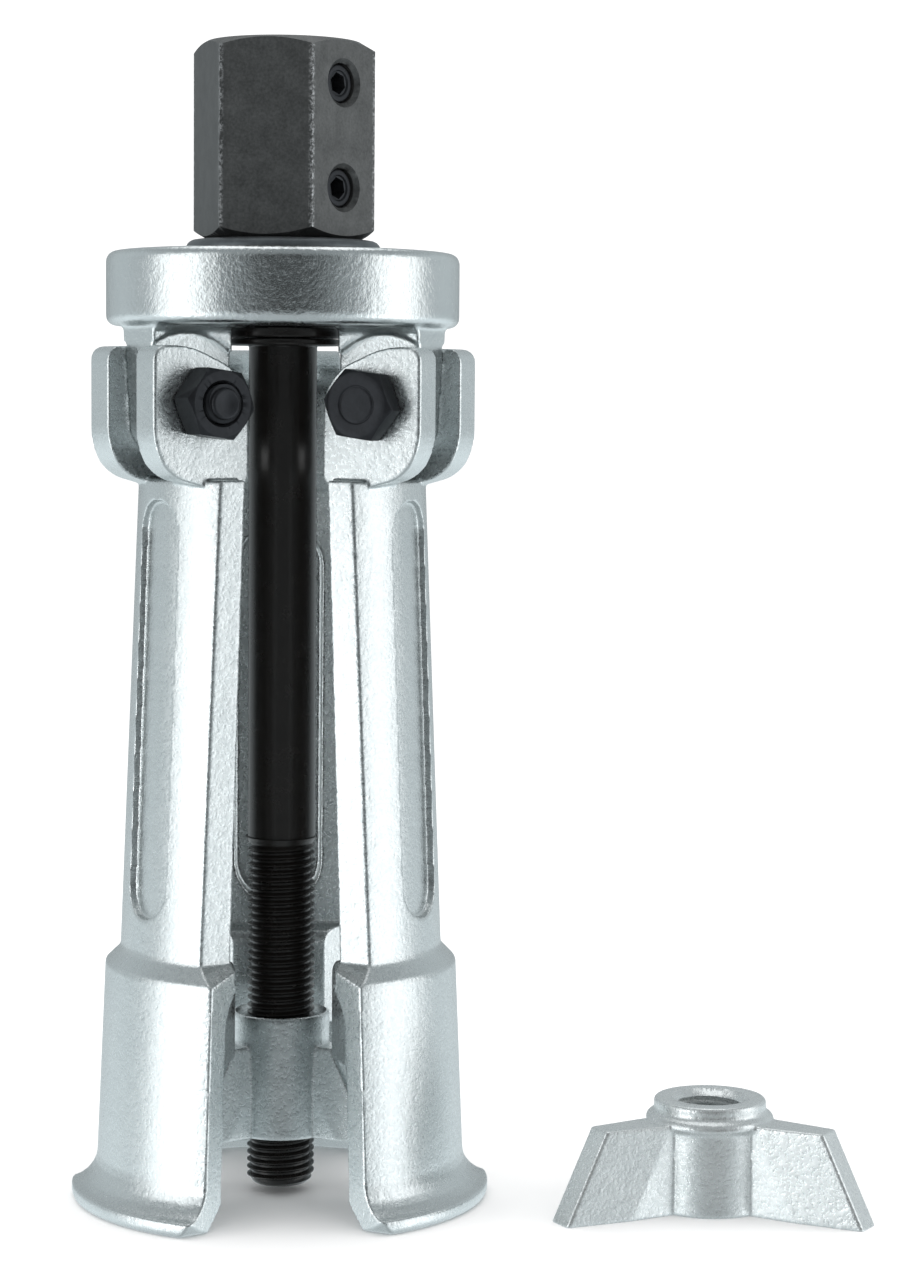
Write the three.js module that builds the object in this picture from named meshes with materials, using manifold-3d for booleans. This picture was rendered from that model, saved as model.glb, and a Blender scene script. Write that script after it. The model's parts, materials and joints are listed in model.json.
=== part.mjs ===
// Three-arm gear puller: a head with three hinged arms, an M18 spindle with a drive hex,
// a winged nut that spreads the arms from inside, and a larger spare winged nut.
// Millimetres, +Z up. The tool stands on its three feet with the spindle upright.
import * as THREE from 'three';
import { mergeVertices } from 'three/addons/utils/BufferGeometryUtils.js';
import Module from 'manifold-3d';

const wasm = await Module();
wasm.setup();

// Driving dimensions
const spindleR = 9;              // M18 major radius
const runningR = 9.4;            // bores that the spindle passes through
const threadMinorR = 8.2;        // M18 x 2 nut bore
const spindleBottom = 2.6;
const spindleTop = 303.4;
const collarR = 15.8;
const collarBottom = 226.2;
const collarTop = 227.9;

const headR = 46.4;
const headBottom = 231;
const headTop = 250.4;
const headEdge = 2.5;
const lugHalf = 6.9;
const lugInner = 20.2;
const lugBottom = 196.9;

const pivotR = 33.4;             // distance of each pivot bolt from the spindle axis
const pivotZ = 210.9;
const boltR = 5;                 // M10
const boltHoleR = 5.3;
const hexAcrossFlats = 17;       // M10 head and nut
const seat = 17;                 // bolt head and nut seats, each side of the arm's middle

const earInner = 7.2;            // fork slot half width
const earOuter = 16.8;
const earTop = 225.5;
const earReach = 48.3;
const shankTop = 191.9;
const shankHalf = 21.1;
const shankTopR = 37.8;
const shankLowR = 42.7;
const shoulderTop = 67.6;
const shoulderLow = 63.3;
const footTopR = 46.7;
const footLowR = 49.1;
const footHalf = 28;             // half width of the foot where its sides meet the outer skin
const footEdgeR = 38.7;          // distance from the axis, along the arm, of that corner
const footDraft = 0.42;          // the foot's sides close in this much per millimetre inwards
const footWall = 6.1;
const lipR = 55.7;
const innerHigh = 24.1;          // flat inner face of the shank, at its top and at the foot
const innerLow = 28.5;
const footHollowTop = 62;
const recess = { half: 9.2, bottom: 77.2, top: 186, depth: 2 };
const pocket = { half: 11.75, bottom: 73, top: 178, floor: 33.6 };
const pad = { inner: 21.7, bottom: 40.6, top: 68, half: 21, faceHalf: 11.8 };
const flareTop = 12.5;
const flareR = 7.5;

const adapterBottom = 253.9;
const adapterTop = 304.9;
const adapterCornerR = 24.3;     // 42 mm across flats
const adapterChamferR = 20.2;
const adapterTurn = 15.6;        // degrees from the front to one corner
const setScrewHeights = { upper: 293.5, lower: 266.7 };
const setScrewTurn = adapterTurn + 30;

const nutBottom = 16.2;
const nutTop = 49.05;
const nutHubR = 13;
const nutWing = { height: 24.5, endLow: 29.5, endHigh: 17.3, fold: 19, end: 4, knee: 4.9, root: 4.7 };

const spareHubR = 15.9;
const spareWing = { height: 23.9, endLow: 46.2, endHigh: 34.4, fold: 27.5, end: 4, knee: 5.8, root: 5.5 };
const sparePlace = { x: 112.9, y: -21.65, turn: -6 };

// Degrees from the front (-Y) towards +X
const armTurns = { left: -60, right: 60, rear: 180 };

const zincPlate = { color: 0xc3c9ca, metalness: 1, roughness: 0.35 };
const blackOxide = { color: 0x3a3c3e, metalness: 0.8, roughness: 0.5 };
const blackGloss = { color: 0x141415, metalness: 0.8, roughness: 0.25 };

// Turns a closed geometry into a solid for cutting and joining.
function solid(geometry) {
  const bare = geometry.index ? geometry.toNonIndexed() : geometry.clone();
  bare.deleteAttribute('normal');
  bare.deleteAttribute('uv');
  const merged = mergeVertices(bare, 1e-4);
  const points = merged.attributes.position;
  const corners = [new THREE.Vector3(), new THREE.Vector3(), new THREE.Vector3()];
  const kept = [];
  let volume = 0;
  for (let i = 0; i < merged.index.count; i += 3) {
    const [a, b, c] = [0, 1, 2].map((k) => merged.index.getX(i + k));
    if (a === b || b === c || c === a) continue;
    [a, b, c].forEach((id, k) => corners[k].fromBufferAttribute(points, id));
    volume += corners[0].dot(corners[1].clone().cross(corners[2]));
    kept.push([a, b, c]);
  }
  const facing = volume > 0 ? kept : kept.map(([a, b, c]) => [a, c, b]);
  return new wasm.Manifold(new wasm.Mesh({
    numProp: 3,
    vertProperties: new Float32Array(points.array),
    triVerts: new Uint32Array(facing.flat()),
  }));
}

function namedMesh(name, body, finish) {
  const cut = body.getMesh();
  const geometry = new THREE.BufferGeometry();
  geometry.setAttribute('position', new THREE.BufferAttribute(cut.vertProperties, 3));
  geometry.setIndex(new THREE.BufferAttribute(cut.triVerts, 1));
  geometry.computeVertexNormals();
  const mesh = new THREE.Mesh(geometry, new THREE.MeshStandardMaterial(finish));
  mesh.name = name;
  return mesh;
}

// Points along an arc in degrees, as [x, y] pairs.
function arc(x, y, radius, from, to, steps) {
  return Array.from({ length: steps + 1 }, (_, i) => {
    const angle = THREE.MathUtils.degToRad(from + ((to - from) * i) / steps);
    return [x + radius * Math.cos(angle), y + radius * Math.sin(angle)];
  });
}

// A profile of [radius, height] pairs turned about Z.
function turned(profile, segments) {
  const points = profile.map(([r, z]) => new THREE.Vector2(r, z));
  return new THREE.LatheGeometry(points, segments).rotateX(Math.PI / 2);
}

function ring(profile, segments) {
  return turned([...profile, profile[0]], segments);
}

function outline(points) {
  return new THREE.Shape(points.map(([x, y]) => new THREE.Vector2(x, y)));
}

function extruded(shape, depth, curveSegments = 6) {
  return new THREE.ExtrudeGeometry(shape, { depth, bevelEnabled: false, curveSegments });
}

// A plan outline in XY raised from one height to another.
function raised(shape, bottom, top) {
  return extruded(shape, top - bottom).translate(0, 0, bottom);
}

// A side outline in XZ spread over a stretch of Y.
function spreadY(shape, from, to) {
  return extruded(shape, to - from).rotateX(Math.PI / 2).translate(0, to, 0);
}

// A face outline in YZ pushed along X.
function pushedX(shape, from, to) {
  return extruded(shape, to - from).rotateX(Math.PI / 2).rotateZ(Math.PI / 2).translate(from, 0, 0);
}

function rodY(radius, from, to, segments) {
  return new THREE.CylinderGeometry(radius, radius, to - from, segments).translate(0, (from + to) / 2, 0);
}

function hexagon(cornerR, turn) {
  return outline(arc(0, 0, cornerR, turn, turn + 300, 5));
}

// Places radial work (+X outwards) at an angle from the front.
function aroundAxis(body, turn) {
  return body.rotate([0, 0, turn - 90]);
}

function makeHead() {
  const rim = [
    [runningR, headBottom],
    ...arc(headR - headEdge, headBottom + headEdge, headEdge, -90, 0, 3),
    ...arc(headR - headEdge, headTop - headEdge, headEdge, 0, 90, 3),
    [runningR, headTop],
  ];
  const lug = outline([
    [lugInner, headBottom + 2],
    ...arc(lugInner + 4, lugBottom + 4, 4, 180, 270, 3),
    ...arc(33.2, lugBottom + 9, 9, 270, 358, 6),
    [43.8, headBottom + 2],
  ]);
  const gusset = outline([
    [lugInner, headBottom - 3.5], [43.4, headBottom - 3.5],
    [43.8, headBottom + 1], [lugInner, headBottom + 1],
  ]);
  const hole = rodY(boltHoleR, -10, 10, 24).translate(pivotR, 0, pivotZ);
  let body = solid(ring(rim, 72));
  for (const turn of Object.values(armTurns)) {
    const root = solid(spreadY(gusset, -lugHalf - 2.2, lugHalf + 2.2));
    const plate = solid(spreadY(lug, -lugHalf, lugHalf)).subtract(solid(hole));
    body = body.add(aroundAxis(plate, turn)).add(aroundAxis(root, turn));
  }
  return body;
}

function makeSpindle() {
  return solid(turned([
    [0, spindleBottom],
    [7.4, spindleBottom],
    [spindleR, spindleBottom + 1.8],
    [spindleR, collarBottom],
    [collarR, collarBottom],
    [collarR, collarTop],
    [spindleR, collarTop],
    [spindleR, spindleTop - 1],
    [spindleR - 1, spindleTop],
    [0, spindleTop],
  ], 40));
}

function makeLowerWasher() {
  const bottom = collarTop + 0.3;
  const top = headBottom - 0.3;
  return solid(ring([[runningR, bottom], [16, bottom], [16, top], [runningR, top]], 40));
}

function makeUpperWasher() {
  const bottom = headTop + 0.3;
  const top = adapterBottom - 0.3;
  const profile = [[runningR, bottom], [25.6, bottom], ...arc(23.6, top - 2, 2, 0, 90, 3), [runningR, top]];
  return solid(ring(profile, 48));
}

function makeAdapter() {
  const drop = (adapterCornerR + 0.2 - adapterChamferR) * Math.tan(Math.PI / 6);
  const chamfered = solid(turned([
    [0, adapterBottom],
    [adapterChamferR, adapterBottom],
    [adapterCornerR + 0.2, adapterBottom + drop],
    [adapterCornerR + 0.2, adapterTop - drop],
    [adapterChamferR, adapterTop],
    [0, adapterTop],
  ], 48));
  const hex = solid(raised(hexagon(adapterCornerR, adapterTurn - 90), adapterBottom, adapterTop));
  const bore = solid(turned([[0, 200], [runningR, 200], [runningR, 320], [0, 320]], 40));
  let body = hex.intersect(chamfered).subtract(bore);
  for (const height of Object.values(setScrewHeights)) {
    const hole = turned([[0, 0], [boltHoleR, 0], [boltHoleR, 20], [7.3, 22], [0, 22]], 24);
    hole.rotateY(Math.PI / 2);
    hole.rotateZ(radial(setScrewTurn));
    hole.translate(0, 0, height);
    body = body.subtract(solid(hole));
  }
  return body;
}

function radial(turn) {
  return THREE.MathUtils.degToRad(turn - 90);
}

function makeSetScrew(height) {
  const [tip, end] = [9.8, 19.4];
  const screw = turned([
    [0, tip], [3.6, tip], [boltR, tip + 1.2], [boltR, end - 0.7], [boltR - 0.7, end], [0, end],
  ], 24);
  const socket = raised(hexagon(2.9, 0), end - 4.5, end + 1);
  const body = solid(screw).subtract(solid(socket));
  return body.rotate([0, 90, 0]).rotate([0, 0, setScrewTurn - 90]).translate([0, 0, height]);
}

// One arm, with +X pointing outwards from the spindle and Y along the pivot bolt.
function makeArm() {
  const flare = arc(footLowR + flareR, flareTop, flareR, 180, 258, 4).reverse();
  const outer = turned([
    [0, 0], [lipR - 1.6, 0], [lipR, 1.4], [lipR, 3.8], ...flare, [footTopR, shoulderLow],
    [shankLowR, shoulderTop], [shankTopR, shankTop - 1], [shankTopR - 1, shankTop], [0, shankTop],
  ], 96);
  const foot = footHalf + 3;
  const front = outline([
    [-foot + 2.5, 0], [foot - 2.5, 0], [foot, 2],
    [foot, shoulderLow - 3], [shankHalf, shoulderTop], [shankHalf, shankTop],
    [-shankHalf, shankTop], [-shankHalf, shoulderTop], [-foot, shoulderLow - 3], [-foot, 2],
  ]);
  const [start, corner] = [15, 51];
  const near = footHalf - footDraft * (footEdgeR - start);
  const far = footHalf + footDraft * (corner - footEdgeR);
  const plan = outline([
    [start, -near], [corner, -far], [corner + 2.5, -far + 1.4], [60, -14],
    [60, 14], [corner + 2.5, far - 1.4], [corner, far], [start, near],
  ]);
  const flatBack = outline([
    [0, footHollowTop], [innerLow, footHollowTop], [innerHigh, shankTop + 1], [0, shankTop + 1],
  ]);
  const hollow = turned([
    [0, -1], [49.2, -1], [48.4, 0], [footLowR - footWall - 0.4, 6.1],
    [footTopR - footWall, 54], [36, footHollowTop], [0, footHollowTop],
  ], 96);
  const innerPocket = pushedX(stadium(pocket), 0, pocket.floor).applyMatrix4(leanBack());
  const outerRecess = solid(pushedX(stadium(recess), 30, 60));
  const recessFloor = turned([
    [0, 60], [shankLowR - recess.depth + 0.3, 60], [shankTopR - recess.depth - 0.3, 200], [0, 200],
  ], 96);
  let body = solid(outer)
    .intersect(solid(pushedX(front, 5, 60)))
    .intersect(solid(raised(plan, -1, 200)));
  body = body.subtract(solid(spreadY(flatBack, -30, 30))).subtract(solid(hollow));
  body = body.subtract(solid(innerPocket)).subtract(outerRecess.subtract(solid(recessFloor)));
  body = body.add(makePad());
  const hole = rodY(boltHoleR, -30, 30, 24).translate(pivotR, 0, pivotZ);
  for (const side of [-1, 1]) {
    const [from, to] = side < 0 ? [-earOuter, -earInner] : [earInner, earOuter];
    body = body.add(solid(spreadY(earShape(), from, to)).subtract(solid(hole)));
  }
  return body;
}

// The shank leans outwards towards the foot; the pocket floor leans with it.
function leanBack() {
  const lean = (shankTopR - shankLowR) / (shankTop - shoulderTop);
  return new THREE.Matrix4().makeShear(0, 0, 0, 0, lean, 0).setPosition(-lean * 120 + 0.6, 0, 0);
}

function stadium({ half, bottom, top }) {
  return outline([
    ...arc(0, bottom + half, half, 180, 360, 8),
    ...arc(0, top - half, half, 0, 180, 8),
  ]);
}

function earShape() {
  const shape = new THREE.Shape();
  shape.moveTo(27, 184);
  shape.lineTo(32.5, 184);
  shape.lineTo(33.5, 189.6);
  shape.lineTo(39.6, 191.3);
  shape.quadraticCurveTo(earReach, 194, earReach, 203);
  shape.lineTo(earReach, earTop - 3.5);
  shape.quadraticCurveTo(earReach, earTop, earReach - 3.5, earTop);
  shape.lineTo(37.6, earTop);
  shape.quadraticCurveTo(20.5, 222, 20.5, 210);
  shape.lineTo(20.5, 193);
  return shape;
}

// The block inside the foot that the winged nut pushes on.
function makePad() {
  const { inner, bottom, top, half, faceHalf } = pad;
  const side = outline([
    [inner, bottom + 1.2], [inner + 1.2, bottom], [43, bottom], [43, top - 12],
    [33, top - 1], [30, top], [inner + 1.8, top - 1.5], [inner, top - 4],
  ]);
  const plan = outline([
    [21, -faceHalf], [30.2, -half], [37, -half], [43, -13],
    [43, 13], [37, half], [30.2, half], [21, faceHalf],
  ]);
  return solid(spreadY(side, -20, 20)).intersect(solid(raised(plan, 20, 80)));
}

function makePivotBolt() {
  const hex = raised(hexagon(hexAcrossFlats / Math.sqrt(3), -8), 0, 6.4);
  const crown = turned([[0, 0], [10, 0], [10, 5.2], [8.1, 6.4], [0, 6.4]], 32);
  const head = solid(hex).intersect(solid(crown)).rotate([90, 0, 0]).translate([0, -seat, 0]);
  const shank = turned([[0, -0.5], [boltR, -0.5], [boltR, 43.2], [4, 44.2], [0, 44.5]], 24);
  return head.add(solid(shank).rotate([-90, 0, 0]).translate([0, -seat, 0])).translate([pivotR, 0, pivotZ]);
}

function makePivotNut() {
  const height = 8.4;
  const hex = raised(hexagon(hexAcrossFlats / Math.sqrt(3), -8), 0, height);
  const crown = turned([[0, 0], [8.3, 0], [10, 1], [10, height - 1], [8.3, height], [0, height]], 32);
  const bore = ring([
    [0, -1], [boltHoleR, -1], [boltHoleR, height - 0.7], [6.4, height + 0.4], [0, height + 0.4],
  ], 24);
  const nut = solid(hex).intersect(solid(crown)).subtract(solid(bore));
  return nut.rotate([-90, 0, 0]).translate([pivotR, seat, pivotZ]);
}

// One wing with its end leaning back towards the top; the foot of the wing is at height 0.
function makeWing(wing) {
  const plan = outline([
    [7, -wing.root], [wing.fold, -wing.knee], [wing.endLow, -wing.end],
    [wing.endLow, wing.end], [wing.fold, wing.knee], [7, wing.root],
  ]);
  const lean = (wing.endHigh - wing.endLow) / wing.height;
  return solid(raised(plan, 0, wing.height).applyMatrix4(new THREE.Matrix4().makeShear(0, 0, 0, 0, lean, 0)));
}

function addWings(hub, wing, bottom) {
  let body = hub;
  for (const turn of Object.values(armTurns)) {
    body = body.add(aroundAxis(makeWing(wing).translate([0, 0, bottom]), turn));
  }
  return body;
}

function makeSpreaderNut() {
  const hub = turned([
    [0, nutBottom], [nutHubR, nutBottom], [nutHubR, nutTop - 0.6], [nutHubR - 0.6, nutTop], [0, nutTop],
  ], 40);
  const bore = turned([
    [0, 0], [runningR, 0], [runningR, nutTop - 2.7], [12.15, nutTop], [12.15, nutTop + 1], [0, nutTop + 1],
  ], 40);
  return addWings(solid(hub), nutWing, nutBottom).subtract(solid(bore));
}

function makeSpareNut() {
  const hub = turned([
    [0, 0], [spareHubR, 0], [spareHubR, 22], [16.9, 22.8], [16.9, 24],
    [14.8, 25.8], [14.8, 28.2], [14, 28.9], [0, 28.9],
  ], 40);
  const bore = turned([
    [0, -1], [9.8, -1], [threadMinorR, 0.8], [threadMinorR, 27], [10.1, 28.9], [10.1, 30], [0, 30],
  ], 40);
  const nut = addWings(solid(hub), spareWing, 0).subtract(solid(bore));
  return nut.rotate([0, 0, sparePlace.turn]).translate([sparePlace.x, sparePlace.y, 0]);
}

const group = new THREE.Group();
group.add(namedMesh('head', makeHead(), zincPlate));
group.add(namedMesh('spindle', makeSpindle(), blackGloss));
group.add(namedMesh('lower_thrust_washer', makeLowerWasher(), blackOxide));
group.add(namedMesh('upper_thrust_washer', makeUpperWasher(), blackOxide));
group.add(namedMesh('hex_adapter', makeAdapter(), blackOxide));
for (const [place, height] of Object.entries(setScrewHeights)) {
  group.add(namedMesh(`set_screw_${place}`, makeSetScrew(height), blackOxide));
}
for (const [place, turn] of Object.entries(armTurns)) {
  group.add(namedMesh(`arm_${place}`, aroundAxis(makeArm(), turn), zincPlate));
  group.add(namedMesh(`pivot_bolt_${place}`, aroundAxis(makePivotBolt(), turn), blackOxide));
  group.add(namedMesh(`pivot_nut_${place}`, aroundAxis(makePivotNut(), turn), blackOxide));
}
group.add(namedMesh('spreader_nut', makeSpreaderNut(), zincPlate));
group.add(namedMesh('spare_spreader_nut', makeSpareNut(), zincPlate));

// The origin is the middle of the bottom of the whole set's box.
const box = new THREE.Box3().setFromObject(group);
group.position.set(-(box.min.x + box.max.x) / 2, -(box.min.y + box.max.y) / 2, -box.min.z);

export default group;
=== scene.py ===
import json
import math
import bmesh
import bpy
from mathutils import Matrix, Vector


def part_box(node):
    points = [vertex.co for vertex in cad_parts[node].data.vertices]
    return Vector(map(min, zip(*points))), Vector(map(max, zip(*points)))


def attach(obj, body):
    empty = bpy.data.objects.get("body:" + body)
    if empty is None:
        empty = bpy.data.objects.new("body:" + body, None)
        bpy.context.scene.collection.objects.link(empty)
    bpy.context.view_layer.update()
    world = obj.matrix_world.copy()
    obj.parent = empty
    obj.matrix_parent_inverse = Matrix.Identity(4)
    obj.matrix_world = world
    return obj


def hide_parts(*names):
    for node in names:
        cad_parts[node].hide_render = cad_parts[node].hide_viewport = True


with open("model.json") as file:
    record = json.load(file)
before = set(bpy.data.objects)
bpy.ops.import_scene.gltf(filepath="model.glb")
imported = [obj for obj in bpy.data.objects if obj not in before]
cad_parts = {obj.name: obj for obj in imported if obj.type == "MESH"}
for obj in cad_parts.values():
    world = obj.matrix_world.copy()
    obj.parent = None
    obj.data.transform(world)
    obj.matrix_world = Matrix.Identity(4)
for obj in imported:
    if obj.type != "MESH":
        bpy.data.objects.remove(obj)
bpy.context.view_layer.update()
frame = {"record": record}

# Three-arm gear puller. Shapes are worked in millimetres about the spindle axis, then placed in metres.

# ---- where things stand, taken from the frame
spindleLow, spindleHigh = [Vector(corner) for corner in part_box("spindle")]
toolAxis = Vector(((spindleLow.x + spindleHigh.x) / 2, (spindleLow.y + spindleHigh.y) / 2, 0))
boreLow, boreHigh = [Vector(corner) for corner in frame["record"]["physics"]["openings"][0]["box_m"]]
spareAxis = Vector(((boreLow.x + boreHigh.x) / 2, (boreLow.y + boreHigh.y) / 2, 0))
millimetre = 0.001
armTurns = {"left": -60, "right": 60, "rear": 180}  # degrees from the front towards the right
spareTurn = -6


def placeAt(axis, turn=90.0):  # local +X ends up pointing at that turn from the front
    heading = Matrix.Rotation(math.radians(turn - 90), 4, "Z")
    return Matrix.Translation(axis) @ heading @ Matrix.Scale(millimetre, 4)


# ---- camera and stage first

cameraSetup = {
    "offset": (-25.3, -818.9, 213.1),  # mm from the foot of the spindle axis
    "heading": 5.0,                    # degrees to the right
    "pitch": 4.5,
    "roll": 0.44,
    "lens": 86.9,
}


def makeCamera(setup):
    data = bpy.data.cameras.new("camera")
    data.lens = setup["lens"]
    data.sensor_width = 36
    data.clip_end = 50
    camera = bpy.data.objects.new("camera", data)
    place = Matrix.Translation(toolAxis + Vector(setup["offset"]) * millimetre)
    heading = Matrix.Rotation(-math.radians(setup["heading"]), 4, "Z")
    tilt = Matrix.Rotation(math.radians(90 - setup["pitch"]), 4, "X")
    roll = Matrix.Rotation(math.radians(setup["roll"]), 4, "Z")
    camera.matrix_world = place @ heading @ tilt @ roll
    bpy.context.collection.objects.link(camera)
    bpy.context.scene.camera = camera


lightSetup = {  # degrees from the front, mm from the foot of the spindle axis, watts
    "left": {"azimuth": -70, "distance": 900, "height": 150, "size": (600, 1000), "power": 2.3},
    "right": {"azimuth": 76, "distance": 900, "height": 150, "size": (620, 1000), "power": 2.3},
    "top": {"azimuth": 180, "distance": 250, "height": 1200, "size": (900, 900), "power": 3},
    "nut": {"azimuth": -46, "distance": 627, "height": 60, "size": (300, 260), "power": 0.02, "spread": 16},
}


aimAtTool = toolAxis + Vector((0, 0, 0.14))
aimAtNut = spareAxis + Vector((0.012, 0, 0.015))


def makeLight(name, spec):  # a light with a spread is a narrow one for the loose nut
    data = bpy.data.lights.new(name, "AREA")
    data.shape = "RECTANGLE"
    data.size = spec["size"][0] * millimetre
    data.size_y = spec["size"][1] * millimetre
    data.energy = spec["power"]
    data.spread = math.radians(spec.get("spread", 180))
    light = bpy.data.objects.new(name, data)
    turn = math.radians(spec["azimuth"])
    reach = spec["distance"] * millimetre
    spot = toolAxis + Vector((reach * math.sin(turn), -reach * math.cos(turn), spec["height"] * millimetre))
    aim = (aimAtNut if "spread" in spec else aimAtTool) - spot
    light.matrix_world = Matrix.Translation(spot) @ aim.to_track_quat("-Z", "Y").to_matrix().to_4x4()
    bpy.context.collection.objects.link(light)


def socketOf(node, key):  # in0 and in1 go by number, anything else by its name
    if key[:2] == "in" and key[2:].isdigit():
        return node.inputs[int(key[2:])]
    return node.inputs[key.replace("_", " ")]


def addNode(tree, kind, settings=None, **inputs):  # one node with its settings and its links or values
    node = tree.nodes.new(kind)
    for key, value in (settings or {}).items():
        setattr(node, key, value)
    for key, value in inputs.items():
        if isinstance(value, bpy.types.NodeSocket):
            tree.links.new(value, socketOf(node, key))
        else:
            socketOf(node, key).default_value = value
    return node


def addRange(tree, value, start, end, low=0.0, high=1.0):  # start to end of the value becomes low to high
    node = addNode(tree, "ShaderNodeMapRange", Value=value, From_Min=start, From_Max=end,
                   To_Min=low, To_Max=high)
    return node.outputs[0]


def addMath(tree, operation, *values):
    sockets = {f"in{place}": value for place, value in enumerate(values)}
    return addNode(tree, "ShaderNodeMath", {"operation": operation}, **sockets).outputs[0]


def linearColour(code, alpha=1.0):  # sRGB hex to linear
    parts = [int(code[i:i + 2], 16) / 255 for i in (1, 3, 5)]
    return [c / 12.92 if c <= 0.04045 else ((c + 0.055) / 1.055) ** 2.4 for c in parts] + [alpha]


# where each part of the room starts and ends in the metal's view, then its strength at those two places
roomSeen = {
    "sides": (0.3, 0.85, 0.05, 0.70),
    "behind": (0.2, 0.9, 0.0, 0.6),
    "fade": (0.25, 0.6, 1.0, 0.5),  # the walls get dimmer towards their tops
    "ground": (-0.3, -0.05, 0.75, 0.0),
    "ceiling": (0.2, 0.5, 0.0, 0.4),
}
roomTint = "#c9d2d5"
skyStrength = 1.15


def makeWorld():
    world = bpy.data.worlds.new("studio")
    world.use_nodes = True
    tree = world.node_tree
    tree.nodes.clear()
    sky = addNode(tree, "ShaderNodeBackground", Color=(1, 1, 1, 1), Strength=skyStrength)
    # the metal sees pale walls at both sides and behind, a dark front, a pale floor and a soft ceiling
    towards = addNode(tree, "ShaderNodeTexCoord").outputs["Generated"]
    look = addNode(tree, "ShaderNodeSeparateXYZ", Vector=towards)
    sides = addRange(tree, addMath(tree, "ABSOLUTE", look.outputs["X"]), *roomSeen["sides"])
    behind = addRange(tree, look.outputs["Y"], *roomSeen["behind"])
    fade = addRange(tree, look.outputs["Z"], *roomSeen["fade"])
    ground = addRange(tree, look.outputs["Z"], *roomSeen["ground"])
    ceiling = addRange(tree, look.outputs["Z"], *roomSeen["ceiling"])
    walls = addMath(tree, "MULTIPLY", addMath(tree, "ADD", sides, behind), fade)
    strength = addMath(tree, "ADD", walls, addMath(tree, "ADD", ground, ceiling))
    room = addNode(tree, "ShaderNodeBackground", Color=linearColour(roomTint), Strength=strength)
    mirrored = addNode(tree, "ShaderNodeLightPath").outputs["Is Glossy Ray"]
    both = addNode(tree, "ShaderNodeMixShader", in0=mirrored, in1=sky.outputs[0], in2=room.outputs[0])
    addNode(tree, "ShaderNodeOutputWorld", Surface=both.outputs[0])
    bpy.context.scene.world = world


def makeFloor():
    bm = bmesh.new()
    bmesh.ops.create_circle(bm, cap_ends=True, radius=12, segments=64)
    mesh = bpy.data.meshes.new("floor")
    bm.to_mesh(mesh)
    bm.free()
    floor = bpy.data.objects.new("floor", mesh)
    bpy.context.collection.objects.link(floor)
    paint = bpy.data.materials.new("matt white paper")
    paint.use_nodes = True
    shader = paint.node_tree.nodes["Principled BSDF"]
    shader.inputs["Base Color"].default_value = (0.96, 0.96, 0.96, 1)
    shader.inputs["Roughness"].default_value = 0.9
    shader.inputs["Specular IOR Level"].default_value = 0.1
    mesh.materials.append(paint)
    floor.visible_glossy = False  # the metal sees the softer studio round it instead of the lit paper


makeCamera(cameraSetup)
for lightName, lightSpec in lightSetup.items():
    makeLight(lightName, lightSpec)
makeWorld()
makeFloor()
bpy.context.scene.view_settings.view_transform = "Standard"
print("camera, light and floor done")


# ---- mesh workshop: everything below here is in millimetres until it is placed


def roundedPoints(bm, corners, put):  # corners are (a, b) or (a, b, rounding)
    verts = [bm.verts.new(put(c[0], c[1])) for c in corners]
    return verts, [(v, c[2]) for v, c in zip(verts, corners) if len(c) > 2 and c[2] > 0]


def roundOff(bm, marked, segments=5):
    for vert, reach in marked:
        bmesh.ops.bevel(bm, geom=[vert], offset=reach, offset_type="OFFSET", segments=segments, profile=0.5,
                        affect="VERTICES", clamp_overlap=False, material=-1)


def finishMesh(bm, name):
    bmesh.ops.remove_doubles(bm, verts=bm.verts, dist=1e-4)
    bmesh.ops.dissolve_degenerate(bm, edges=bm.edges, dist=1e-4)
    bmesh.ops.recalc_face_normals(bm, faces=bm.faces)
    mesh = bpy.data.meshes.new(name)
    bm.to_mesh(mesh)
    bm.free()
    return mesh


def turned(corners, steps=96, closed=False):  # a profile of (radius, height, rounding) spun about Z
    bm = bmesh.new()
    verts, marked = roundedPoints(bm, corners, lambda r, z: (r, 0, z))
    for pair in zip(verts, verts[1:]):
        bm.edges.new(pair)
    if closed:
        bm.edges.new((verts[-1], verts[0]))
    roundOff(bm, marked)
    bmesh.ops.spin(bm, geom=bm.verts[:] + bm.edges[:], cent=(0, 0, 0), axis=(0, 0, 1), angle=2 * math.pi,
                   steps=steps, use_merge=True)
    return finishMesh(bm, "turned")


def prism(corners, along, start, end, segments=5):  # an outline pushed along one axis
    puts = {"x": lambda a, b: (start, a, b), "y": lambda a, b: (a, start, b), "z": lambda a, b: (a, b, start)}
    push = {"x": Vector((1, 0, 0)), "y": Vector((0, 1, 0)), "z": Vector((0, 0, 1))}[along] * (end - start)
    bm = bmesh.new()
    verts, marked = roundedPoints(bm, corners, puts[along])
    bm.faces.new(verts)
    roundOff(bm, marked, segments)
    pushed = bmesh.ops.extrude_face_region(bm, geom=bm.faces[:])
    bmesh.ops.translate(bm, verts=[g for g in pushed["geom"] if isinstance(g, bmesh.types.BMVert)], vec=push)
    return finishMesh(bm, "prism")


def hexPrism(acrossFlats, bottom, top, turn=0.0):
    place = Matrix.Translation((0, 0, bottom)) @ Matrix.Rotation(math.radians(turn + 90), 4, "Z")
    bm = bmesh.new()
    bmesh.ops.create_circle(bm, cap_ends=True, radius=acrossFlats / math.sqrt(3), segments=6, matrix=place)
    pushed = bmesh.ops.extrude_face_region(bm, geom=bm.faces[:])
    bmesh.ops.translate(bm, verts=[g for g in pushed["geom"] if isinstance(g, bmesh.types.BMVert)],
                        vec=(0, 0, top - bottom))
    return finishMesh(bm, "hex")


def rod(radius, start, end, along="z", steps=64):  # along "z" or "y"
    mesh = turned([(0, start), (radius, start), (radius, end), (0, end)], steps)
    if along == "y":
        mesh.transform(Matrix.Rotation(math.radians(-90), 4, "X"))
    return mesh


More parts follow.
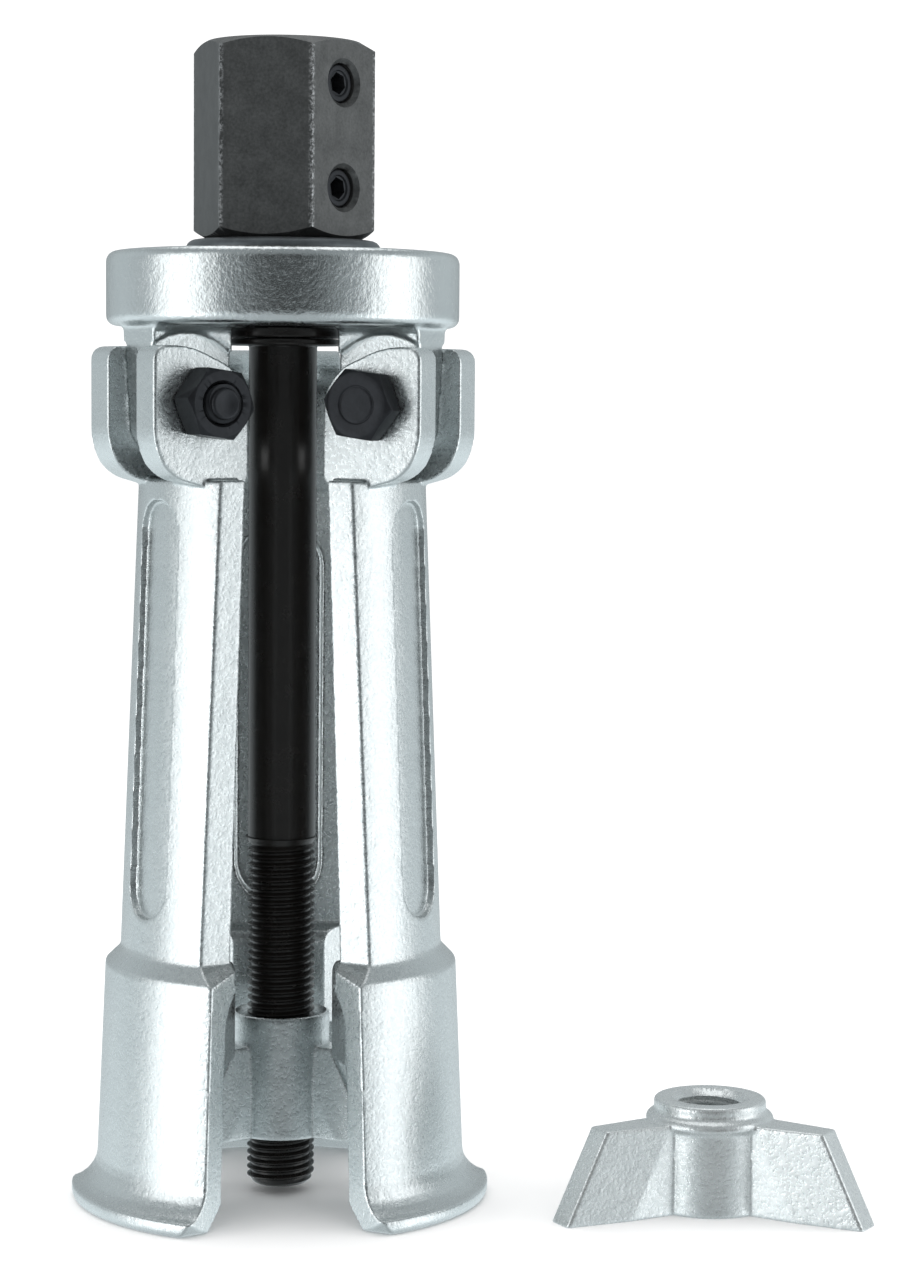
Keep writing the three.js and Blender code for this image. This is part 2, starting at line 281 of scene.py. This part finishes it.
def moved(mesh, x=0.0, y=0.0, z=0.0):
    mesh.transform(Matrix.Translation((x, y, z)))
    return mesh


def threaded(major, minor, pitch, bottom, top, around=36):  # a closed screw with a 60 degree V
    turns = math.ceil((top - bottom) / pitch) + 2
    bm = bmesh.new()
    shape = [(minor, -0.125), (minor, 0.125), (major, 0.4375), (major, 0.5625), (minor, 0.875)]
    verts = [bm.verts.new((r, 0, bottom - pitch + z * pitch)) for r, z in shape]
    for pair in zip(verts, verts[1:]):
        bm.edges.new(pair)
    bmesh.ops.spin(bm, geom=bm.verts[:] + bm.edges[:], cent=(0, 0, 0), axis=(0, 0, 1),
                   dvec=(0, 0, pitch / around), angle=2 * math.pi * turns, steps=around * turns)
    bmesh.ops.remove_doubles(bm, verts=bm.verts, dist=1e-3)
    for height, outwards in ((bottom, -1), (top, 1)):
        bmesh.ops.bisect_plane(bm, geom=bm.verts[:] + bm.edges[:] + bm.faces[:], dist=1e-5,
                               plane_co=(0, 0, height), plane_no=(0, 0, outwards), clear_outer=True)
        rim = [e for e in bm.edges if e.is_boundary and all(abs(v.co.z - height) < 1e-3 for v in e.verts)]
        bmesh.ops.holes_fill(bm, edges=rim, sides=0)
    return finishMesh(bm, "thread")


def copyOf(mesh, matrix=None):
    twin = mesh.copy()
    if matrix is not None:
        twin.transform(matrix)
    return twin


def settle(mesh, steps):  # runs modifiers on a mesh and hands the result back as a mesh
    body = bpy.data.objects.new("work", mesh)
    bpy.context.collection.objects.link(body)
    helpers = []
    for kind, settings in steps:
        modifier = body.modifiers.new(kind, kind)
        for key, value in settings.items():
            if isinstance(value, bpy.types.Mesh):
                helper = bpy.data.objects.new("helper", value)
                bpy.context.collection.objects.link(helper)
                helpers.append(helper)
                value = helper
            setattr(modifier, key, value)
    graph = bpy.context.evaluated_depsgraph_get()
    result = bpy.data.meshes.new_from_object(body.evaluated_get(graph))
    for helper in [body, *helpers]:
        bpy.data.objects.remove(helper)
    return result


def joined(mesh, *tools):  # tools are ("UNION" | "DIFFERENCE" | "INTERSECT", mesh)
    return settle(mesh, [("BOOLEAN", {"operation": mode, "solver": "EXACT", "object": tool})
                         for mode, tool in tools])


def forged(mesh, grain, passes, keep):  # the soft skin and fillets of a die forging
    return settle(mesh, [("REMESH", {"mode": "VOXEL", "voxel_size": grain, "use_smooth_shade": True}),
                         ("SMOOTH", {"factor": 0.5, "iterations": passes}),
                         ("DECIMATE", {"ratio": keep})])


def evened(mesh):  # lets the broad faces set the shading and keeps drilled rims sharp
    weighting = {"mode": "FACE_AREA", "weight": 50, "keep_sharp": True}
    return settle(creased(mesh, 55), [("WEIGHTED_NORMAL", weighting)])


def machined(mesh, edge, angle=28.0):  # small broken edges on turned and milled pieces
    return settle(mesh, [("BEVEL", {"width": edge, "segments": 2, "limit_method": "ANGLE", "profile": 0.5,
                                    "angle_limit": math.radians(angle), "use_clamp_overlap": True})])


def creased(mesh, sharp):  # smooth shading with hard edges above that angle
    mesh.shade_smooth()
    mesh.set_sharp_from_angle(angle=math.radians(sharp))
    return mesh


def show(name, mesh, body, node, material):
    mesh.materials.clear()
    mesh.materials.append(material)
    mesh.name = name
    piece = bpy.data.objects.new(name, mesh)
    bpy.context.collection.objects.link(piece)
    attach(piece, body)
    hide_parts(node)


# ---- materials


def startMaterial(name):
    material = bpy.data.materials.new(name)
    material.use_nodes = True
    tree = material.node_tree
    tree.nodes.clear()
    spots = addNode(tree, "ShaderNodeTexCoord").outputs["Object"]
    return material, tree, spots


def addNoise(tree, spots, size, detail, roughness):  # size of the pattern in mm
    return addNode(tree, "ShaderNodeTexNoise", Vector=spots, Scale=1 / (size * millimetre), Detail=detail,
                   Roughness=roughness).outputs["Fac"]


def addBlend(tree, factor, low, high):  # each end is a hex colour or a colour socket
    low, high = [linearColour(end) if isinstance(end, str) else end for end in (low, high)]
    node = addNode(tree, "ShaderNodeMix", {"data_type": "RGBA"}, Factor=factor, A=low, B=high)
    return node.outputs["Result"]


def addSurface(tree, colour, metallic, roughness, normal):
    shader = addNode(tree, "ShaderNodeBsdfPrincipled", Base_Color=colour, Metallic=metallic,
                     Roughness=roughness, Normal=normal)
    addNode(tree, "ShaderNodeOutputMaterial", Surface=shader.outputs[0])


def zincPlatedForging(name, metallic, glossLow, glossHigh):
    # Drop-forged steel, shot blasted and zinc plated: bright silver with a cool cast, a sparkling grain
    # of about a millimetre and a slower unevenness from the die.
    material, tree, spots = startMaterial(name)
    cloud = addNoise(tree, spots, 14, 3, 0.6)
    grain = addNoise(tree, spots, 0.9, 4, 0.62)
    pits = addNoise(tree, spots, 3.2, 2, 0.5)
    tint = addBlend(tree, cloud, "#d1d6d7", "#dfe2e2")
    gloss = addRange(tree, grain, 0.3, 0.7, glossLow, glossHigh)
    fine = addNode(tree, "ShaderNodeBump", Height=grain, Strength=0.7, Distance=0.00018)
    coarse = addNode(tree, "ShaderNodeBump", Height=pits, Strength=0.4, Distance=0.0003,
                     Normal=fine.outputs[0])
    addSurface(tree, tint, metallic, gloss, coarse.outputs[0])
    return material


blockWear = {"start": 0.02375, "full": 0.02418}  # metres from the block's axis, just short of its corners


def blackOxideBlock():
    # Black oxide on milled steel: dark grey with mottling, and bright steel where the corners are worn.
    material, tree, spots = startMaterial("black oxide steel")
    centred = addNode(tree, "ShaderNodeMapping", Vector=spots, Location=-toolAxis).outputs[0]
    flat = addNode(tree, "ShaderNodeVectorMath", {"operation": "MULTIPLY"}, in0=centred, in1=(1, 1, 0))
    away = addNode(tree, "ShaderNodeVectorMath", {"operation": "LENGTH"}, in0=flat.outputs[0])
    mottle = addNoise(tree, spots, 5, 6, 0.65)
    speck = addNoise(tree, spots, 0.7, 3, 0.6)
    spread = addRange(tree, addMath(tree, "ADD", mottle, speck), 0.6, 1.4)
    oxide = addBlend(tree, spread, "#464747", "#676868")
    worn = addRange(tree, away.outputs["Value"], blockWear["start"], blockWear["full"])
    chips = addRange(tree, speck, 0.45, 0.7)
    colour = addBlend(tree, addMath(tree, "MULTIPLY", worn, chips), oxide, "#c2c4c6")
    gloss = addRange(tree, speck, 0, 1, 0.36, 0.56)
    relief = addNode(tree, "ShaderNodeBump", Height=speck, Strength=0.25, Distance=0.00008)
    addSurface(tree, colour, 0.85, gloss, relief.outputs[0])
    return material


def darkSteel(name, low, high, roughLow, roughHigh, size, metallic, relief):
    material, tree, spots = startMaterial(name)
    mottle = addNoise(tree, spots, size, 5, 0.62)
    colour = addBlend(tree, mottle, low, high)
    gloss = addRange(tree, mottle, 0, 1, roughLow, roughHigh)
    bump = addNode(tree, "ShaderNodeBump", Height=mottle, Strength=relief, Distance=0.0001)
    addSurface(tree, colour, metallic, gloss, bump.outputs[0])
    return material


zincForging = zincPlatedForging("zinc plated forged steel", 1.0, 0.2, 0.38)
# The loose nut's plating is milkier: new, dry zinc that hasn't been handled.
zincFresh = zincPlatedForging("fresh milky zinc plating", 0.82, 0.2, 0.38)
# The ring is handled most, so its plating is rubbed a little brighter than the arms'.
zincRing = zincPlatedForging("rubbed zinc plating", 1.0, 0.13, 0.28)
blockOxide = blackOxideBlock()
# Phosphated bolt steel: nearly black, a little chalky, with slightly shinier rubbed places.
fastenerBlack = darkSteel("phosphated bolt steel", "#1d1e20", "#3a3c40", 0.3, 0.55, 2.5, 0.8, 0.25)
# Oiled black spindle steel: deep black with a smooth gloss.
spindleBlack = darkSteel("oiled black steel", "#161514", "#262321", 0.2, 0.32, 4.0, 0.25, 0.1)
# Ground washer steel with a grey phosphate finish.
washerGrey = darkSteel("phosphated washer steel", "#4c5053", "#73787b", 0.32, 0.5, 3.0, 0.85, 0.15)
print("materials done")


# ---- the arms

armSizes = {
    "pivot": (33.4, 210.9),
    "boltHole": 5.2,
    "grain": 0.4,
    "keep": 0.34,        # share of the skinned mesh that is kept
    "shankHalf": 21.1,
    "shankTop": 191.9,
    "shankTopR": 37.8,
    "shankLowR": 42.7,
    "shoulderTop": 67.6,
    "shoulderLow": 63.3,
    "footHalf": 28.0,
    "footR": 46.7,
    "footEdgeR": 38.7,   # where the foot's half width is measured
    "footDraft": 0.42,
    "waistR": 49.2,      # above the lip
    "lipR": 55.7,
    "lipHigh": 3.9,
    "innerLow": 28.5,
    "innerHigh": 24.1,
    "hollowTop": 62.0,
    "earInner": 7.2,
    "earOuter": 16.8,
    "earReach": 48.3,
    "earTop": 225.5,
    "recess": {"half": 9.2, "bottom": 77.2, "top": 186, "floorLow": (60, 40.9), "floorHigh": (200, 35.7)},
    "pocket": {"half": 11.75, "bottom": 73, "top": 178, "floor": 33.2, "level": 120},
    "pad": {"inner": 21.7, "outer": 43.0, "bottom": 40.6, "top": 68.0, "half": 21.0, "faceHalf": 11.8},
}


def stadium(half, bottom, top):
    rounding = half * 0.98
    return [(side, level, rounding) for side, level in
            ((-half, bottom), (half, bottom), (half, top), (-half, top))]


def leaned(mesh, lean, foot):  # shears outwards as it goes down
    shear = Matrix.Identity(4)
    shear[0][2] = lean
    shear[0][3] = -lean * foot
    mesh.transform(shear)
    return mesh


def makeSkin(s):  # the whole arm as a solid of revolution about the spindle
    return turned([(0, 0), (s["lipR"], 0, 1.8), (s["lipR"], s["lipHigh"], 0.5), (s["waistR"], 5.0, 6.9),
                   (s["footR"], s["shoulderLow"], 0.6), (s["shankLowR"], s["shoulderTop"], 0.6),
                   (s["shankTopR"], s["shankTop"] - 0.4, 1.0), (0, s["shankTop"])], 180)


def makeFace(s):  # its outline from the front
    shank, foot = s["shankHalf"], s["footHalf"]
    wide = foot + 3  # past the drafted sides, which the plan cuts
    high = s["shoulderLow"] - 3
    top, waist = s["shankTop"], s["shoulderTop"]
    return prism([(-foot - 0.5, 0, 2), (foot + 0.5, 0, 2), (wide, 4, 1), (wide, high), (shank, waist),
                  (shank, top, 1), (-shank, top, 1), (-shank, waist), (-wide, high), (-wide, 4, 1)],
                 "x", 5, 62)


def makePlan(s):  # and from above, wider towards the outside
    start, end, past = 15, 53, 60
    narrow = s["footHalf"] - s["footDraft"] * (s["footEdgeR"] - start)
    wide = s["footHalf"] + s["footDraft"] * (end - s["footEdgeR"])
    return prism([(start, -narrow), (end, -wide, 3), (past, -14), (past, 14), (end, wide, 3),
                  (start, narrow)], "z", -1, 200)


def makeHollows(s):  # what is taken away inside and in front
    top = s["hollowTop"]
    back = prism([(0, top), (s["innerLow"], top), (s["innerHigh"], 193), (0, 193)], "y", -30, 30)
    inside = turned([(0, -1), (s["waistR"], -1), (48.4, 0), (42.6, 6.1, 1.5), (40.6, 54, 3), (36, top),
                     (0, top)], 180)
    k = s["pocket"]
    lean = (s["shankTopR"] - s["shankLowR"]) / (s["shankTop"] - s["shoulderTop"])
    pocket = leaned(prism(stadium(k["half"], k["bottom"], k["top"]), "x", 0, k["floor"], 8), lean, k["level"])
    k = s["recess"]
    (lowZ, lowR), (highZ, highR) = k["floorLow"], k["floorHigh"]
    floor = turned([(0, lowZ), (lowR, lowZ), (highR, highZ), (0, highZ)], 180)
    recess = joined(prism(stadium(k["half"], k["bottom"], k["top"]), "x", 25, 60, 8), ("DIFFERENCE", floor))
    return [("DIFFERENCE", tool) for tool in (back, inside, pocket, recess)]


def makePad(s):  # the block inside the foot that the winged nut pushes on
    k = s["pad"]
    inner, outer, low, top = k["inner"], k["outer"], k["bottom"], k["top"]
    side = prism([(inner, low + 1.2), (inner + 1.2, low), (outer, low), (outer, 56), (33, top - 1),
                  (30, top, 1), (23.5, top - 1.5, 1), (inner, 64, 1)], "y", -24, 24)
    half, face = k["half"], k["faceHalf"]
    plan = prism([(21, -face), (30.2, -half), (37, -half), (outer, -13), (outer, 13), (37, half),
                  (30.2, half), (21, face)], "z", 20, 80)
    return joined(side, ("INTERSECT", plan))


def makeEars(s):
    reach, top = s["earReach"], s["earTop"]
    outline = [(27, 184), (32.5, 184), (33.5, 189.6), (43.6, 192.4, 4), (reach, 199.5, 5), (reach, top, 3.6),
               (37.6, top, 4), (23.0, 219.2, 5.5), (20.5, 211, 3), (20.5, 192)]
    inner, outer = s["earInner"], s["earOuter"]
    return [("UNION", prism(outline, "y", start, end)) for start, end in ((-outer, -inner), (inner, outer))]


def makeArm(s):
    body = joined(makeSkin(s), ("INTERSECT", makeFace(s)), ("INTERSECT", makePlan(s)), *makeHollows(s),
                  ("UNION", makePad(s)), *makeEars(s))
    hole = moved(rod(s["boltHole"], -30, 30, "y"), s["pivot"][0], 0, s["pivot"][1])
    return evened(joined(forged(body, s["grain"], 3, s["keep"]), ("DIFFERENCE", hole)))


armMesh = makeArm(armSizes)
for place, turn in armTurns.items():
    show(f"forged_arm_{place}", copyOf(armMesh, placeAt(toolAxis, turn)), f"arm_{place}", f"arm_{place}",
         zincForging)
print("arms done", len(armMesh.polygons), "faces each")


# ---- the head with its three lugs

headSizes = {
    "radius": 46.4,
    "bottom": 231.0,
    "top": 250.4,
    "edge": 2.6,
    "bore": 9.3,
    "lugHalf": 6.9,
    "lugForged": 7.9,     # outside the milled circle round the bolt
    "lugLow": 196.9,
    "milled": 18.4,
    "rootWide": 3.5,      # how far the lug's foot spreads under the ring
    "grain": 0.6,
}


def makeLug(s, px, pz):
    half, low = s["lugForged"], s["lugLow"]
    lug = prism([(20.2, 233), (20.2, low, 4), (42.2, low, 9), (42.3, 208), (43.8, 233)], "y", -half, half, 8)
    spread = half + s["rootWide"]
    root = prism([(-spread, 232.5), (-half, 228.8, 2.4), (half, 228.8, 2.4), (spread, 232.5)],
                 "x", 20.4, 43.4)
    cutters = []
    for start, end in ((-20, -s["lugHalf"]), (s["lugHalf"], 20)):
        cutters.append(("DIFFERENCE", moved(rod(s["milled"], start, end, "y", 96), px, 0, pz)))
    return joined(joined(lug, ("UNION", root)), *cutters)


def makeHead(s):
    px, pz = armSizes["pivot"]
    radius, low, high, edge = s["radius"], s["bottom"], s["top"], s["edge"]
    ring = turned([(0, low), (radius, low, edge), (radius, high, edge), (0, high)], 180)
    lug = makeLug(s, px, pz)
    hole = moved(rod(armSizes["boltHole"], -12, 12, "y"), px, 0, pz)
    turns = [Matrix.Rotation(math.radians(turn - 90), 4, "Z") for turn in armTurns.values()]
    body = forged(joined(ring, *[("UNION", copyOf(lug, turn)) for turn in turns]), s["grain"], 3, 0.5)
    holes = [("DIFFERENCE", copyOf(hole, turn)) for turn in turns]
    return evened(joined(body, ("DIFFERENCE", rod(s["bore"], 200, 260)), *holes))


headMesh = makeHead(headSizes)
headMesh.transform(placeAt(toolAxis))
show("forged_head", headMesh, "head", "head", zincRing)
print("head done", len(headMesh.polygons), "faces")


# ---- spindle and what is clamped on it

spindleSizes = {
    "radius": 9.0,
    "root": 7.85,
    "pitch": 2.0,
    "end": 2.6,
    "endRadius": 7.2,
    "threadTop": 95.0,
    "collar": (15.8, 226.2, 227.9),  # radius, bottom, top
    "top": 303.4,
}


def makeThread(s):
    thread = threaded(s["radius"], s["root"], s["pitch"], s["end"], s["threadTop"] + 1)
    for vert in thread.vertices:
        x, y, z = vert.co
        out = math.hypot(x, y)
        if out < 1e-6:
            continue
        limit = min(out, s["endRadius"] + z - s["end"])  # 45 degree chamfer at the lower end
        if z > s["threadTop"] - 2:
            limit = max(limit, s["root"] + (z - s["threadTop"] + 2) * 0.6)  # run-out into the plain shank
        vert.co.x, vert.co.y = x * limit / out, y * limit / out
    return thread


def makeSpindle(s):
    radius, start, top = s["radius"], s["threadTop"], s["top"]
    reach, low, high = s["collar"]
    shaft = turned([(0, start - 0.4), (radius - 0.4, start - 0.4), (radius, start + 1.0, 0.3),
                    (radius, low, 0.5), (reach, low, 0.5), (reach, high, 0.5), (radius, high),
                    (radius, top, 1.0), (0, top)], 96)
    return joined(shaft, ("UNION", makeThread(s)))


spindleMesh = creased(makeSpindle(spindleSizes), 40)
spindleMesh.transform(placeAt(toolAxis))
show("threaded_spindle", spindleMesh, "spindle", "spindle", spindleBlack)

washerSizes = {"bore": 9.4, "below": (16.0, 228.2, 230.7), "above": (25.6, 250.7, 253.6)}


def makeWasher(place, lowEdge, highEdge, steps):
    bore, (radius, low, high) = washerSizes["bore"], washerSizes[place]
    corners = [(bore, low), (radius, low, lowEdge), (radius, high, highEdge), (bore, high)]
    washer = turned(corners, steps, closed=True)
    washer.transform(placeAt(toolAxis))
    return creased(washer, 40)


show("thrust_washer_below", makeWasher("below", 0.4, 0.4, 96), "spindle", "lower_thrust_washer",
     spindleBlack)
show("thrust_washer_above", makeWasher("above", 0.5, 2.4, 128), "spindle", "upper_thrust_washer",
     washerGrey)
print("spindle and washers done", len(spindleMesh.polygons), "faces")


# ---- hex drive block and its set screws

adapterSizes = {
    "acrossFlats": 42.09,
    "bottom": 253.9,
    "top": 304.9,
    "chamferStart": 20.2,
    "cornerTurn": 15.6,   # degrees from the front to a corner
    "bore": 9.4,
    "screws": (293.5, 266.7),
    "screwHole": 5.15,
    "sink": 6.3,
}


def faceScrewSide(mesh, s, height=0.0):  # from upright about the origin to the face that holds the screws
    mesh.transform(Matrix.Rotation(math.radians(90), 4, "Y"))
    mesh.transform(Matrix.Rotation(math.radians(s["cornerTurn"] + 30 - 90), 4, "Z"))
    return moved(mesh, 0, 0, height)


def makeAdapter(s):
    past = s["acrossFlats"] / math.sqrt(3) + 1  # just outside the corners
    start, low, high = s["chamferStart"], s["bottom"], s["top"]
    drop = (past - start) * math.tan(math.radians(30))
    block = hexPrism(s["acrossFlats"], low, high, s["cornerTurn"] - 90)
    chamfer = turned([(0, low), (start, low), (past, low + drop), (past, high - drop), (start, high),
                      (0, high)], 180)
    bore, mouth = s["bore"], high + 0.8
    inside = turned([(0, 200), (bore, 200), (bore, high - 0.8), (11, mouth), (0, mouth)], 96)
    tools = [("INTERSECT", chamfer), ("DIFFERENCE", inside)]
    face = s["acrossFlats"] / 2
    for height in s["screws"]:
        hole = turned([(0, 0), (s["screwHole"], 0), (s["screwHole"], face - 1.15),
                       (s["sink"] + 0.5, face + 0.5), (0, face + 0.5)], 64)
        tools.append(("DIFFERENCE", faceScrewSide(hole, s, height)))
    return creased(machined(joined(block, *tools), 0.35), 30)


def makeSetScrew(s, height):
    end, radius, socket = 19.4, 4.95, 5.0
    screw = turned([(0, 9.8), (3.6, 9.8), (radius, 11.1), (radius, end, 0.7), (3.4, end, 0.2),
                    (3.1, end - 0.5), (0, end - 0.5)], 64)
    mesh = machined(joined(screw, ("DIFFERENCE", hexPrism(socket, end - 5, end + 1, 12))), 0.12)
    return creased(faceScrewSide(mesh, s, height), 30)


adapterMesh = makeAdapter(adapterSizes)
adapterMesh.transform(placeAt(toolAxis))
show("hex_drive_block", adapterMesh, "spindle", "hex_adapter", blockOxide)
for place, height in zip(("upper", "lower"), adapterSizes["screws"]):
    screwMesh = makeSetScrew(adapterSizes, height)
    screwMesh.transform(placeAt(toolAxis))
    show(f"socket_set_screw_{place}", screwMesh, "spindle", f"set_screw_{place}",
         fastenerBlack)
print("drive block done")


# ---- pivot bolts and nuts

boltSizes = {
    "acrossFlats": 17,
    "headHeight": 6.4,
    "nutHeight": 8.4,
    "nutBore": 5.25,
    "seat": 17.0,   # from the arm's middle to the face the head or nut sits on
    "turn": -8,
    "crown": 9.9,   # just outside the corners
    "stem": 4.95,
    "stemRoot": 4.15,
    "stemEnd": 44.5,
    "pitch": 1.5,
}


def makeBolt(s):
    k, wide, stemR = s["headHeight"], s["crown"], s["stem"]
    crown = turned([(0, 0), (8.2, 0), (wide, 0.5), (wide, k - 1.15), (8.15, k - 0.12, 0.3), (7.2, k, 0.3),
                    (5.0, k, 0.15), (4.7, k - 0.3, 0.15), (4.2, k - 0.1, 0.2), (0, k - 0.1)], 96)
    head = machined(joined(hexPrism(s["acrossFlats"], 0, k, s["turn"]), ("INTERSECT", crown)), 0.15)
    head.transform(Matrix.Rotation(math.radians(90), 4, "X"))
    shank = turned([(0, -0.4), (stemR, -0.4), (stemR, 30), (0, 30)], 64)
    end = s["stemEnd"]
    tip = threaded(stemR, s["stemRoot"], s["pitch"], 29.5, end - 1.1, 48)
    nose = turned([(0, end - 1.5), (4.1, end - 1.5), (4.1, end - 0.6, 0.4), (3.6, end, 0.5),
                   (1.4, end - 0.5, 0.6), (0, end - 0.6)], 64)
    stem = joined(shank, ("UNION", tip), ("UNION", nose))
    stem.transform(Matrix.Rotation(math.radians(-90), 4, "X"))
    bolt = joined(moved(head, 0, -s["seat"]), ("UNION", moved(stem, 0, -s["seat"])))
    return creased(moved(bolt, armSizes["pivot"][0], 0, armSizes["pivot"][1]), 30)


def makeNut(s):
    h, wide = s["nutHeight"], s["crown"]
    crown = turned([(0, 0), (8.2, 0), (wide, 0.95), (wide, h - 0.95), (8.25, h, 0.15), (0, h)], 96)
    bore = turned([(0, -1), (s["nutBore"], -1), (s["nutBore"], h - 0.65), (6.5, h + 0.6), (0, h + 0.6)], 96)
    hexagon = hexPrism(s["acrossFlats"], -1, h + 1, s["turn"])  # longer than the crown, which cuts both ends
    nut = machined(joined(hexagon, ("INTERSECT", crown), ("DIFFERENCE", bore)), 0.15)
    nut.transform(Matrix.Rotation(math.radians(-90), 4, "X"))
    return creased(moved(nut, armSizes["pivot"][0], s["seat"], armSizes["pivot"][1]), 30)


boltMesh = makeBolt(boltSizes)
nutMesh = makeNut(boltSizes)
for place, turn in armTurns.items():
    stand = placeAt(toolAxis, turn)
    show(f"hex_bolt_{place}", copyOf(boltMesh, stand), f"arm_{place}", f"pivot_bolt_{place}",
         fastenerBlack)
    show(f"hex_nut_{place}", copyOf(nutMesh, stand), f"arm_{place}", f"pivot_nut_{place}",
         fastenerBlack)
print("bolts and nuts done")


# ---- winged nuts

wingSizes = {  # fold is where the wing starts to narrow; root, knee and end are its half widths
    "fitted": {"height": 24.5, "endLow": 29.5, "endHigh": 17.3, "fold": 19,
               "root": 4.7, "knee": 4.9, "end": 4},
    "spare": {"height": 23.9, "endLow": 46.2, "endHigh": 34.4, "fold": 27.5,
              "root": 5.5, "knee": 5.8, "end": 4},
}
fittedHub = {"radius": 13, "bottom": 16.2, "top": 49.05, "bore": 9.25, "mouth": 12.15, "sink": 2.9}
spareHub = {"radius": 15.9, "bead": 16.9, "collar": 14.8, "shoulder": 22.2, "top": 28.9,
            "thread": (9.15, 8.2)}
nutGrain = 0.4


def makeWing(w):
    lean = (w["endHigh"] - w["endLow"]) / w["height"]
    fold, reach, root, knee, end = w["fold"], w["endLow"], w["root"], w["knee"], w["end"]
    plan = [(7, -root), (fold, -knee), (reach, -end, 0.6), (reach, end, 0.6), (fold, knee), (7, root)]
    return leaned(prism(plan, "z", 0, w["height"]), lean, 0)


def withWings(hub, w, bottom):
    tools = []
    for turn in armTurns.values():
        wing = moved(makeWing(w), 0, 0, bottom)
        tools.append(("UNION", copyOf(wing, Matrix.Rotation(math.radians(turn - 90), 4, "Z"))))
    return joined(hub, *tools)


def makeFittedNut(s):
    radius, low, high, bore, mouth = s["radius"], s["bottom"], s["top"], s["bore"], s["mouth"]
    hub = turned([(0, low), (radius, low, 0.5), (radius, high, 0.7), (0, high)], 128)
    blank = forged(withWings(hub, wingSizes["fitted"], low), nutGrain, 3, 0.5)
    hole = turned([(0, 0), (bore, 0), (bore, high - s["sink"]), (mouth, high), (mouth, high + 2),
                   (0, high + 2)], 96)
    return evened(joined(blank, ("DIFFERENCE", hole)))


def makeSpareNut(s):
    radius, bead, collar, mid, top = s["radius"], s["bead"], s["collar"], s["shoulder"], s["top"]
    major, minor = s["thread"]
    hub = turned([(0, 0), (radius, 0, 0.5), (radius, mid, 0.5), (bead, mid + 0.6, 0.5),
                  (bead, mid + 2.4, 1.2), (collar, top - 3.3, 0.8), (collar, top, 0.9), (0, top)], 128)
    blank = forged(withWings(hub, wingSizes["spare"], 0), nutGrain, 3, 0.5)
    tap = threaded(major, minor, spindleSizes["pitch"], -1, top + 1.1, 48)
    sink = turned([(0, top - 1.8), (minor, top - 1.8), (10.2, top + 0.05), (10.2, 31), (0, 31)], 96)
    lead = turned([(0, -2), (9.9, -2), (9.9, -0.05), (minor, 1.4), (0, 1.4)], 96)
    return evened(joined(blank, ("DIFFERENCE", tap), ("DIFFERENCE", sink), ("DIFFERENCE", lead)))


fittedNut = makeFittedNut(fittedHub)
fittedNut.transform(placeAt(toolAxis))
show("winged_nut_fitted", fittedNut, "spreader", "spreader_nut", zincForging)
spareNut = makeSpareNut(spareHub)
spareNut.transform(placeAt(spareAxis, 90 + spareTurn))
show("winged_nut_spare", spareNut, "spare", "spare_spreader_nut", zincFresh)
print("winged nuts done", len(fittedNut.polygons), len(spareNut.polygons), "faces")
